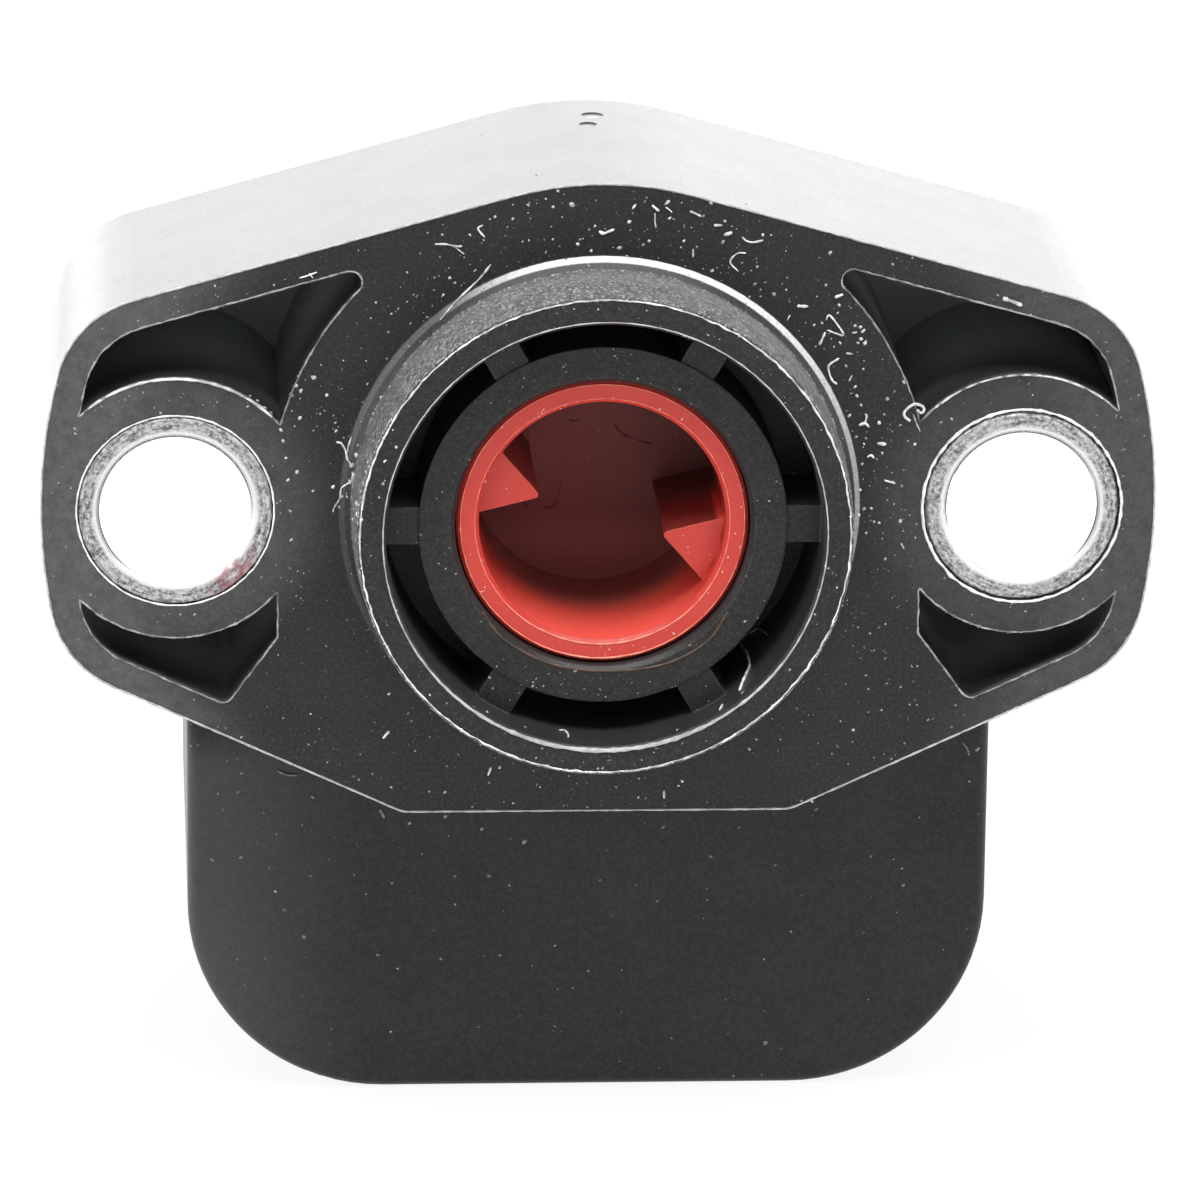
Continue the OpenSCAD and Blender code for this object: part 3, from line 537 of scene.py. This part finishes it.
def housing_plastic():
    s = Shade("housing_plastic")
    x, y, z = s.axes()
    radius = s.hypot(x, z)
    rounded = s.rounded(0.13 * MM)
    edge = s.edge_share(rounded)
    front, up = s.facing()
    grain = s.noise(0.13 * MM, 4.0, 0.75)
    patches = s.noise(2.6 * MM, 3.0)
    base = s.mix(patches, grey(0.006), grey(0.015))
    flat = s.ramp(front, 0.5, 0.9)
    grains = s.times(s.ramp(grain, 0.48, 0.72), flat, s.ramp(y, 2 * MM, 4 * MM, 0.5, 0.15))
    base = s.mix(grains, base, grey(0.04))

    # Painted glare: paler, blotchy plastic on the bosses and towards the ends of the flange, more so on the
    # left, where light from the bright surroundings falls
    across = s.math("ABSOLUTE", x)
    blotches = s.noise(0.6 * MM, 4.0, 0.75)
    glare_blotches = s.times(s.ramp(blotches, 0.2, 0.8, 0.35, 1.0), flat)
    boss = s.ramp(s.hypot(s.math("SUBTRACT", across, BOLT_X), z), 4.0 * MM, 6.4 * MM, 0.6, 0.0)
    glare_zone = s.math("MAXIMUM", s.ramp(radius, 15.0 * MM, 19.0 * MM), boss)
    near_face = s.ramp(y, 0.3 * MM, 0.5 * MM, 1.0, 0.0)
    painted_glare = s.times(glare_zone, glare_blotches, near_face, s.ramp(x, -19 * MM, 19 * MM, 1.2, 0.75))
    base = s.mix(painted_glare, base, grey(0.08))

    # Paler plastic on the left of the shroud
    paler_left_shroud = s.times(s.ramp(x, -16 * MM, -8 * MM, 1.0, 0.0), s.ramp(z, -12 * MM, -10 * MM, 1.0, 0.0))
    base = s.mix(paler_left_shroud, base, grey(0.045))

    # Painted light: paler colour that grows with the depth of the pockets, and is paler in the lower ones,
    # standing in for light that reaches into them
    pocket = s.inside_pockets(across, y, z, radius)
    pocket_fill_light = s.mix(s.ramp(z, -4 * MM, 3 * MM), (0.54, 0.57, 0.565), (0.41, 0.44, 0.435))
    base = s.mix(s.times(pocket, s.ramp(y, 0.8 * MM, 6.5 * MM)), base, pocket_fill_light)

    # Scuffs and dust around the outside of the collar
    wall = s.band(radius, SPIGOT_R - 0.14 * MM, SPIGOT_R + 0.02 * MM, 0.03 * MM)
    wall = s.times(wall, s.band(y, RIM_Y + 0.1 * MM, FACE_Y - 0.3 * MM, 0.1 * MM))
    base = s.mix(s.times(wall, s.ramp(blotches, 0.35, 0.65, 0.1, 0.6)), base, grey(0.13))
    base = s.mix(s.times(wall, s.ramp(grain, 0.5, 0.64, 0.0, 0.8)), base, grey(0.5))
    # A painted highlight on the upward-facing band of the collar's foot, fainter on the left
    collar_foot_highlight = s.band(radius, SPIGOT_R + 0.27 * MM, SPIGOT_R + 0.44 * MM, 0.06 * MM)
    collar_foot_highlight = s.times(collar_foot_highlight, s.ramp(up, 0.0, 0.9, 0.3, 1.0), s.ramp(x, -6.5 * MM, -1.5 * MM, 0.1, 1.0))
    collar_foot_highlight = s.times(collar_foot_highlight, s.band(y, FACE_Y - 0.5 * MM, FACE_Y - 0.02 * MM, 0.02 * MM))

    # Pale grey in the gate marks, which is settled dust and a painted reflection in their shaded pits; and a
    # thin dust film on what looks up
    gate_dust_and_reflection = s.ramp(across, GATE_REACH, GATE_REACH + 0.1 * MM, 0.9, 0.0)
    gate_dust_and_reflection = s.times(gate_dust_and_reflection, s.band(z, *GATE_HEIGHTS, 0.02 * MM), s.band(y, *GATE_DEPTHS, 0.3 * MM))
    sheltered = s.math("MAXIMUM", pocket, s.ramp(radius, SPIGOT_R - 1.2 * MM, SPIGOT_R - 1 * MM, 0.8, 0.0))
    settled = s.times(s.ramp(up, 0.3, 0.95, 0.0, 0.035), s.math("SUBTRACT", 1.0, sheltered))
    # Painted glare: a thicker pale film on the sideways faces at the flange's ends
    ends = s.times(s.ramp(across, 18.2 * MM, 20.3 * MM), s.ramp(front, 0.1, 0.5, 0.10, 0.0))
    thickness = s.math("ADD", s.math("ADD", 0.006, settled), s.times(ends, s.ramp(up, -0.5, 0.1)))
    thickness = s.times(thickness, s.ramp(patches, 0.2, 0.8, 0.88, 1.12))
    base = s.mix(s.film(thickness), base, grey(0.5))
    # Dust and a painted reflection in the gate marks
    base = s.mix(gate_dust_and_reflection, base, grey(0.55))
    # The painted highlight on the collar's foot
    base = s.mix(s.times(collar_foot_highlight, s.ramp(grain, 0.4, 0.6, 0.75, 1.0)), base, grey(0.95))
    # Paler plastic along the edges: edge wear, and a painted highlight on their rounding
    base = s.mix(s.times(edge, s.ramp(blotches, 0.3, 0.62, 0.0, 0.45)), base, grey(0.2))

    s.set(Base_Color=base, Roughness=s.ramp(grain, 0.3, 0.7, 0.34, 0.46))
    s.set(Specular_IOR_Level=s.ramp(grain, 0.35, 0.65, 0.24, 0.38))
    s.set(Normal=s.bump(grain, 0.003 * MM, 0.35, rounded))
    return s.material


def rotor_plastic():
    s = Shade("rotor_plastic")
    x, y, z = s.axes()
    rounded = s.rounded(0.09 * MM)
    edge = s.edge_share(rounded)
    grain = s.noise(0.2 * MM, 3.0, 0.6)
    patches = s.noise(1.5 * MM)
    red = s.mix(patches, (0.50, 0.034, 0.025), (0.57, 0.048, 0.034))
    front, up = s.facing()
    # Painted light: a lighter red on the upward-facing walls inside the socket, where light from above falls
    red = s.mix(s.times(s.ramp(up, 0.4, 0.9), s.ramp(front, 0.1, 0.3, 1.0, 0.0)), red, (0.88, 0.105, 0.075))
    # Painted shade: a dark red on the tangs' faces that turn away from the front, in the shadow of the
    # socket's rim
    turned_away = s.ramp(front, 0.3, 0.7, 1.0, 0.0)
    painted_tang_shade = s.times(s.ramp(s.hypot(x, z), 4.3 * MM, 4.5 * MM, 1.0, 0.0), turned_away)
    red = s.mix(s.times(painted_tang_shade, 0.85), red, (0.15, 0.02, 0.018))
    # Painted shade: the socket's red darkens deeper in and more on the right, with painted light making it
    # lighter towards the bottom
    socket_depth_shade = s.ramp(y, ROTOR_Y + 3.0 * MM, ROTOR_Y + 6.2 * MM)
    painted_shade_red = s.mix(s.ramp(x, -3 * MM, 4 * MM), (0.18, 0.055, 0.05), (0.12, 0.06, 0.055))
    painted_shade_red = s.mix(s.ramp(z, -3.4 * MM, -1.7 * MM, 0.75, 0.0), painted_shade_red, (0.36, 0.15, 0.13))
    red = s.mix(s.times(socket_depth_shade, 0.93), red, painted_shade_red)
    crumbs = s.ramp(s.cells(0.38 * MM), 0.05, 0.12, 1.0, 0.0)
    crumb_zone = s.ramp(s.noise(1.2 * MM, 2.0), 0.35, 0.6)
    top = s.band(y, ROTOR_Y - 0.05 * MM, ROTOR_Y + 0.06 * MM, 0.04 * MM)
    red = s.mix(s.times(crumbs, top, crumb_zone, 0.75), red, (0.85, 0.52, 0.48))
    # Painted highlight: a lighter red along the rotor's edges, stronger near its front
    painted_edge_highlight = s.times(edge, s.ramp(y, ROTOR_Y + 2 * MM, ROTOR_Y + 3 * MM, 0.4, 0.1))
    red = s.mix(painted_edge_highlight, red, (0.92, 0.28, 0.22))
    s.set(Base_Color=red, Roughness=s.ramp(grain, 0.3, 0.7, 0.32, 0.46))
    s.set(Specular_IOR_Level=s.ramp(socket_depth_shade, 0.0, 1.0, 0.36, 0.1))
    s.set(Normal=s.bump(grain, 0.003 * MM, 0.5, rounded))
    return s.material


def bushing_steel(name, axis_x, stain=None):
    s = Shade(name)
    x, _, z = s.axes()
    across = s.math("SUBTRACT", x, axis_x)
    radius = s.hypot(across, z)
    face = s.ramp(radius, BOLT_BORE_R + 0.02 * MM, BOLT_BORE_R + 0.1 * MM)
    grain = s.noise(0.16 * MM, 5.0, 0.8)
    streaks = s.noise(0.14 * MM, 4.0, 0.7, s.polar(radius, across, z, 14.0))
    pits = s.ramp(s.math("ADD", s.times(grain, 0.55), s.times(streaks, 0.45)), 0.42, 0.58)
    rough_face = s.mix(pits, grey(0.12), grey(0.66))
    rough_face = s.mix(s.ramp(s.noise(0.9 * MM, 2.0), 0.46, 0.66, 0.0, 0.3), rough_face, grey(0.7))
    inner = s.ramp(radius, BOLT_BORE_R + 0.16 * MM, BOLT_BORE_R + 0.36 * MM, 1.0, 0.0)
    rough_face = s.mix(s.times(inner, 0.9), rough_face, grey(0.94))
    if stain is not None:
        off = s.node("VectorMath", {"operation": "DISTANCE"})
        s.put(off.inputs[0], s.coords)
        off.inputs[1].default_value = stain
        near = s.ramp(off.outputs["Value"], 0.4 * MM, 1.7 * MM, 1.0, 0.0)
        patch = s.times(near, s.ramp(s.noise(0.4 * MM, 3.0), 0.35, 0.6), 0.75)
        rough_face = s.mix(patch, rough_face, (0.34, 0.10, 0.13))
    s.set(Base_Color=s.mix(face, (0.86, 0.90, 0.89), rough_face), Metallic=1.0)
    s.set(Roughness=s.ramp(face, 0.0, 1.0, 0.14, 0.42))
    s.set(Normal=s.bump(grain, 0.03 * MM, s.ramp(face, 0.0, 1.0, 0.02, 0.9), s.rounded(0.1 * MM)))
    return s.material


def metal(name, colour, roughness, size):
    s = Shade(name)
    grain = s.noise(size, 4.0, 0.7)
    dark = tuple(c * 0.8 for c in colour)
    s.set(Base_Color=s.mix(grain, dark, colour), Metallic=1.0)
    s.set(Roughness=s.ramp(grain, 0.3, 0.7, roughness * 0.8, roughness * 1.2))
    s.set(Normal=s.bump(grain, 0.004 * MM, 0.6, s.rounded(0.05 * MM)))
    return s.material


def plain_grain(name, colour, roughness, size, depth):
    s = Shade(name)
    grain = s.noise(size, 4.0, 0.65)
    s.set(Base_Color=s.mix(grain, tuple(c * 0.7 for c in colour), tuple(c * 1.25 for c in colour)))
    s.set(Roughness=roughness, Normal=s.bump(grain, depth, 0.6, s.rounded(0.06 * MM)))
    return s.material


def lint(name, low, high, roughness=0.8):
    """Threads, crumbs and burrs, whose tone changes from one to the next."""
    s = Shade(name)
    s.set(Base_Color=s.mix(s.ramp(s.noise(0.6 * MM, 3.0, 0.6), 0.35, 0.65), low, high), Roughness=roughness)
    return s.material


def dress(node, material):
    slots = NODES[node].data.materials
    slots.clear()
    slots.append(material)


def dress_nodes(solids):
    dress("housing", housing_plastic())
    dress("rotor", rotor_plastic())
    dress("bushing_left", bushing_steel("bushing_left_steel", -BOLT_X, solids.behind(STAIN_PIXEL)[0]))
    dress("bushing_right", bushing_steel("bushing_right_steel", BOLT_X))
    brass = metal("brass", (0.72, 0.52, 0.24), 0.3, 0.3 * MM)
    tin = metal("tin", (0.74, 0.73, 0.70), 0.3, 0.25 * MM)
    spring = metal("spring_steel", (0.52, 0.52, 0.54), 0.28, 0.3 * MM)
    cover = plain_grain("cover_plastic", (0.022, 0.022, 0.024), 0.5, 0.25 * MM, 0.008 * MM)
    carrier = plain_grain("carrier_plastic", (0.03, 0.03, 0.032), 0.5, 0.25 * MM, 0.006 * MM)
    board = plain_grain("board_lacquer", (0.03, 0.12, 0.05), 0.35, 0.4 * MM, 0.003 * MM)
    track = plain_grain("track_carbon", (0.015, 0.015, 0.016), 0.55, 0.1 * MM, 0.004 * MM)
    sealant = plain_grain("sealant", (0.03, 0.03, 0.033), 0.42, 0.7 * MM, 0.05 * MM)
    for node in ("thrust_washer", "wiper_plate", "wiper_brush_outer", "wiper_brush_inner"):
        dress(node, brass)
    for index in (1, 2, 3):
        dress(f"terminal_{index}", tin)
        dress(f"terminal_rivet_{index}", tin)
    dress("return_spring", spring)
    dress("rear_cover", cover)
    dress("wiper_carrier", carrier)
    dress("circuit_board", board)
    dress("resistive_track", track)
    dress("collector_track", track)
    dress("cover_sealant", sealant)


def burr(detail, loop, radius, jitter, step=0.13 * MM, change=0.5, low=0.0):
    """A thin burr along an edge loop, whose course and thickness waver; low thickens its lower side, as a
    painted highlight where the lower edges catch light from the floor.
    """
    even = even_loop(loop, step)
    path, radii = [], []
    for i, point in enumerate(even):
        along = (even[(i + 1) % len(even)] - even[i - 1]).normalized()
        inward = FRONT.cross(along)
        path.append(point + inward * jitter * uneven(point, 0.33 * MM))
        wave = 1 + change * uneven(point + FRONT * 10 * MM, 0.27 * MM)
        radii.append(radius * wave * (1 + low * max(0.0, inward.z) ** 3))
    detail.tube(path, [FRONT] * len(path), radii, closed=True)


def boss_burr(detail, loop, radius):
    """A thicker burr on the stretch of a pocket's edge that runs around the boss, which is also a painted
    highlight on that edge.
    """
    even = even_loop(loop, 0.13 * MM)
    axis = Vector((math.copysign(BOLT_X, even[0].x), FACE_Y, 0))
    near = [(point - axis).length < BUSHING_R + 1.5 * MM for point in even]
    start = next(i for i in range(len(even)) if near[i] and not near[i - 1])
    arc = [even[(start + k) % len(even)] for k in range(sum(near))]
    radii = []
    for i, point in enumerate(arc):
        taper = min(1.0, 0.3 + 0.1 * min(i, len(arc) - 1 - i))
        radii.append(radius * taper * (1 + 0.6 * uneven(point, 0.3 * MM)))
    detail.tube(arc, [FRONT] * len(arc), radii)


def knobs(detail, loop, rng, gap, low, high):
    """Crumbs of burr along an edge loop, a random gap of up to twice the given one apart."""
    step = 0.05 * MM
    even = even_loop(loop, step)
    i = 0
    while i < len(even):
        detail.speck(even[i], FRONT, rng.uniform(low, high), rng)
        i += 1 + int(rng.uniform(0, 2 * gap) / step)


def ring_loop(x, y, r, count=90):
    """A round loop about a line through x, along the rotor's axis."""
    turns = [2 * math.pi * k / count for k in range(count)]
    return [Vector((x + r * math.cos(a), y, r * math.sin(a))) for a in turns]


def add_edge_lines(solids):
    """Burrs along the edges of the flange, its pockets and the collar's rim, and on the bushings and the
    rotor, made pale so that they are also painted highlights on the edges' rounding.
    """
    rng = random.Random(7)
    outline, pockets, rim, rings, rotor_lines = Detail(), Detail(), Detail(), Detail(), Detail()
    for loop in face_loops(solids, "housing", FACE_Y):
        middle, half = loop_size(loop)
        if half > 20 * MM:
            burr(outline, loop, 0.040 * MM, 0.006 * MM)
        elif half > 2 * MM and abs(middle.z) > 1 * MM:
            burr(pockets, loop, 0.036 * MM, 0.03 * MM, change=0.8)
            knobs(pockets, loop, rng, 0.6 * MM, 0.03 * MM, 0.07 * MM)
            if middle.z > 0:
                boss_burr(rim, loop, 0.055 * MM if middle.x < 0 else 0.04 * MM)
    for loop in face_loops(solids, "housing", RIM_Y):
        if loop_size(loop)[1] > 9 * MM:
            burr(rim, loop, 0.031 * MM, 0.04 * MM, change=0.9)
            knobs(rim, loop, rng, 0.5 * MM, 0.025 * MM, 0.06 * MM)
        else:
            burr(outline, loop, 0.026 * MM, 0.008 * MM, low=2.4)
    burr(rings, ring_loop(-BOLT_X, BUSHING_Y, BUSHING_R - 0.03 * MM), 0.035 * MM, 0.02 * MM)
    burr(rings, ring_loop(BOLT_X, BUSHING_Y, BUSHING_R + 0.04 * MM), 0.052 * MM, 0.03 * MM, change=0.8)
    for loop in face_loops(solids, "rotor", ROTOR_Y):
        if loop_size(loop)[1] > 4 * MM:
            burr(rotor_lines, loop, 0.014 * MM, 0.01 * MM, low=1.6)
    # Pale colours for the burrs: moulding flash, and painted highlights on the edges' rounding
    outline.finish("edge_burrs_and_highlights", lint("burr_and_highlight_grey", grey(0.3), grey(0.5), 0.55), "housing", "black_plastic")
    pockets.finish("pocket_burrs_and_highlights", lint("burr_and_highlight_dull", grey(0.1), grey(0.34), 0.55), "housing", "black_plastic")
    rim.finish("rim_burr_and_highlight", lint("burr_and_highlight_pale", grey(0.35), grey(0.8), 0.5), "housing", "black_plastic")
    rings.finish("bushing_burrs_and_highlights", lint("burr_and_highlight_metal", grey(0.6), grey(0.9), 0.4), "housing", "bushing_steel")
    orange = lint("burr_and_highlight_red", (0.75, 0.16, 0.11), (0.9, 0.36, 0.26), 0.5)
    rotor_lines.finish("rotor_burr_and_highlight", orange, "rotor", "red_plastic")


def lay_fibre(detail, solids, width, pixels):
    """A thread through the surface points behind its pixels."""
    hits = [solids.behind(pixel) for pixel in pixels]
    points = [point + normal * width * MM * 0.6 for point, normal in hits]
    path = smooth_path(points, 0.07 * MM)
    up = sum((normal for _, normal in hits), Vector()).normalized()
    radii = [width * MM * (0.75 + 0.5 * uneven(p, 0.16 * MM)) for p in path]
    radii[0] *= 0.6
    radii[-1] *= 0.6
    detail.tube(path, [up] * len(path), radii)


def add_fibres(solids):
    black, shroud, socket = Detail(), Detail(), Detail()
    for width, pixels in FIBRES.values():
        lay_fibre(black, solids, width, pixels)
    lay_fibre(black, solids, *CURL_TAIL)
    for width, pixels in SHROUD_FIBRES.values():
        lay_fibre(shroud, solids, width, pixels)
    for width, pixels in SOCKET_FIBRES.values():
        lay_fibre(socket, solids, width, pixels)
    add_curl(black)
    black.finish("fibres", lint("lint_pale", grey(0.34), grey(0.85)), "housing", "black_plastic")
    brown = lint("lint_brown", (0.12, 0.105, 0.09), (0.2, 0.19, 0.175))
    shroud.finish("shroud_fibres", brown, "housing", "black_plastic")
    dark = lint("lint_dark", (0.03, 0.008, 0.007), (0.3, 0.08, 0.07))
    socket.finish("socket_fibres", dark, "rotor", "red_plastic")


def add_curl(detail):
    """The curled fibre over the lower end of the right upper pocket, in the plane of the flange face."""
    width, pixels = CURL_AT_POCKET
    points = []
    for pixel in pixels:
        sight = line_of_sight(pixel)
        share = (FACE_Y - 1.2 * width * MM - CAMERA_AT.y) / sight.y
        points.append(CAMERA_AT + share * sight)
    path = smooth_path(points, 0.07 * MM)
    detail.tube(path, [FRONT] * len(path), [width * MM] * len(path))


def add_specks(solids):
    """Crumbs of dust: those that stand out, and finer ones over every outer face."""
    rng = random.Random(41)
    crumbs, black, shroud, red = Detail(), Detail(), Detail(), Detail()
    for region, specks in SPECKS.items():
        target = shroud if region == "shroud" else crumbs
        for u, v, width in specks:
            point, normal = solids.behind((u, v))
            target.speck(point, normal, width * PIXEL * SPECK_SHARE, rng)
    scatter(black, red, solids, rng, DUST_TRIES_IN_FRONT, lambda normal: normal.y < -0.5)
    scatter(black, red, solids, rng, DUST_TRIES_ELSEWHERE, lambda normal: normal.y > -0.5)
    crumbs.finish("crumbs", lint("crumbs_pale", grey(0.25), grey(0.75)), "housing", "black_plastic")
    black.finish("dust", lint("dust_pale", grey(0.1), grey(0.5)), "housing", "black_plastic")
    shroud.finish("shroud_dust", lint("dust_dull", grey(0.12), grey(0.26)), "housing", "black_plastic")
    red.finish("rotor_dust", lint("dust_rose", (0.6, 0.3, 0.26), (0.9, 0.7, 0.66)), "rotor", "red_plastic")


def dustiness(point, clouds):
    """How much of the random dust stays at a point: more in patches and clouds, less on the shroud."""
    share = 0.22 + 0.5 * max(0.0, uneven(point, 3.5 * MM))
    for centre, reach, weight in clouds:
        share += weight * math.exp(-((point - centre).length / reach) ** 2)
    return share * (0.2 if point.y > FACE_Y + 2.5 * MM else 1.0)


def scatter(black, red, solids, rng, count, chosen, reach=14 * MM):
    """Fine dust on the chosen faces, where they are open to the air."""
    clouds = [(solids.behind(pixel)[0], width * PIXEL, weight) for pixel, width, weight in DUST_CLOUDS]
    faces, areas, total = [], [], 0.0
    for face, owner in zip(solids.faces, solids.owners):
        a, b, c = (solids.points[i] for i in face[:3])
        normal = (b - a).cross(c - a)
        if normal.length > 0 and chosen(normal.normalized()):
            total += normal.length / 2
            faces.append((a, b - a, c - a, normal.normalized(), owner))
            areas.append(total)
    for _ in range(count):
        a, along, across, normal, owner = faces[bisect.bisect_left(areas, rng.uniform(0, total))]
        u, v = sorted((rng.random(), rng.random()))
        point = a + along * u + across * (v - u)
        size = 0.013 * MM * math.exp(1.45 * rng.random() ** 1.5)
        if rng.random() > dustiness(point, clouds) or not solids.open_air(point, normal, reach):
            continue
        if owner == "rotor":
            red.speck(point, normal, size, rng)
        elif owner in ("housing", "rear_cover", "cover_sealant"):
            black.speck(point, normal, size, rng)


def add_grease(solids):
    """A thin brown line of grease between the bearing ring and the collar."""
    detail = Detail()
    hits = [solids.behind(pixel) for pixel in GREASE_ROUTE]
    points = [point + normal * 0.01 * MM for point, normal in hits]
    path = smooth_path(points, 0.1 * MM)
    radii = [0.045 * MM * (1 + 0.4 * uneven(p, 0.4 * MM)) for p in path]
    detail.tube(path, [FRONT] * len(path), radii)
    brown = lint("grease", (0.05, 0.03, 0.018), (0.10, 0.06, 0.04), 0.4)
    detail.finish("grease_line", brown, "housing", "black_plastic")


def make_lamp(name, at, width, height, radiance):
    data = bpy.data.lights.new(name, "AREA")
    data.shape = "RECTANGLE"
    data.size = width
    data.size_y = height
    data.energy = radiance * math.pi * width * height
    lamp = bpy.data.objects.new(name, data)
    lamp.location = at
    lamp.rotation_euler = (LAMP_AIM - Vector(at)).to_track_quat("-Z", "Y").to_euler()
    lamp.visible_camera = False
    bpy.context.scene.collection.objects.link(lamp)


def make_lamps():
    for name, (at, width, height, radiance) in LAMPS.items():
        make_lamp(name, at, width, height, radiance)


def camera_or_mirror(tree):
    """How much of a ray sees white: one for camera, glossy and transmission rays."""
    path = tree.nodes.new("ShaderNodeLightPath")
    best = path.outputs["Is Camera Ray"]
    for name in ("Is Glossy Ray", "Is Transmission Ray"):
        made = tree.nodes.new("ShaderNodeMath")
        made.operation = "MAXIMUM"
        tree.links.new(best, made.inputs[0])
        tree.links.new(path.outputs[name], made.inputs[1])
        best = made.outputs[0]
    return best


def make_world(diffuse_level=0.4):
    world = bpy.data.worlds.new("world")
    bpy.context.scene.world = world
    world.use_nodes = True
    tree = world.node_tree
    strength = tree.nodes.new("ShaderNodeMapRange")
    tree.links.new(camera_or_mirror(tree), strength.inputs["Value"])
    strength.inputs["To Min"].default_value = diffuse_level
    strength.inputs["To Max"].default_value = 1.0
    tree.nodes["Background"].inputs["Color"].default_value = (1, 1, 1, 1)
    tree.links.new(strength.outputs["Result"], tree.nodes["Background"].inputs["Strength"])


def make_floor(half=1.6, shadow_share=0.1):
    mesh = bpy.data.meshes.new("floor")
    corners = [(-half, -half), (half, -half), (half, half), (-half, half)]
    mesh.from_pydata([(x, y, FLOOR_Z) for x, y in corners], [], [(0, 1, 2, 3)])
    floor = bpy.data.objects.new("floor", mesh)
    bpy.context.scene.collection.objects.link(floor)
    material = bpy.data.materials.new("floor_white")
    material.use_nodes = True
    tree = material.node_tree
    shader = tree.nodes["Principled BSDF"]
    shader.inputs["Base Color"].default_value = (0.93, 0.93, 0.93, 1)
    shader.inputs["Roughness"].default_value = 0.9
    glow = tree.nodes.new("ShaderNodeEmission")
    share = tree.nodes.new("ShaderNodeMath")
    share.operation = "MULTIPLY"
    tree.links.new(camera_or_mirror(tree), share.inputs[0])
    share.inputs[1].default_value = 1 - shadow_share
    blend = tree.nodes.new("ShaderNodeMixShader")
    tree.links.new(share.outputs[0], blend.inputs[0])
    tree.links.new(shader.outputs[0], blend.inputs[1])
    tree.links.new(glow.outputs[0], blend.inputs[2])
    tree.links.new(blend.outputs[0], tree.nodes["Material Output"].inputs["Surface"])
    mesh.materials.append(material)


bpy.context.scene.view_settings.view_transform = "Standard"
make_camera()
SOLIDS = Solids()
dress_nodes(SOLIDS)
add_edge_lines(SOLIDS)
add_fibres(SOLIDS)
add_specks(SOLIDS)
add_grease(SOLIDS)
make_lamps()
make_world()
make_floor()
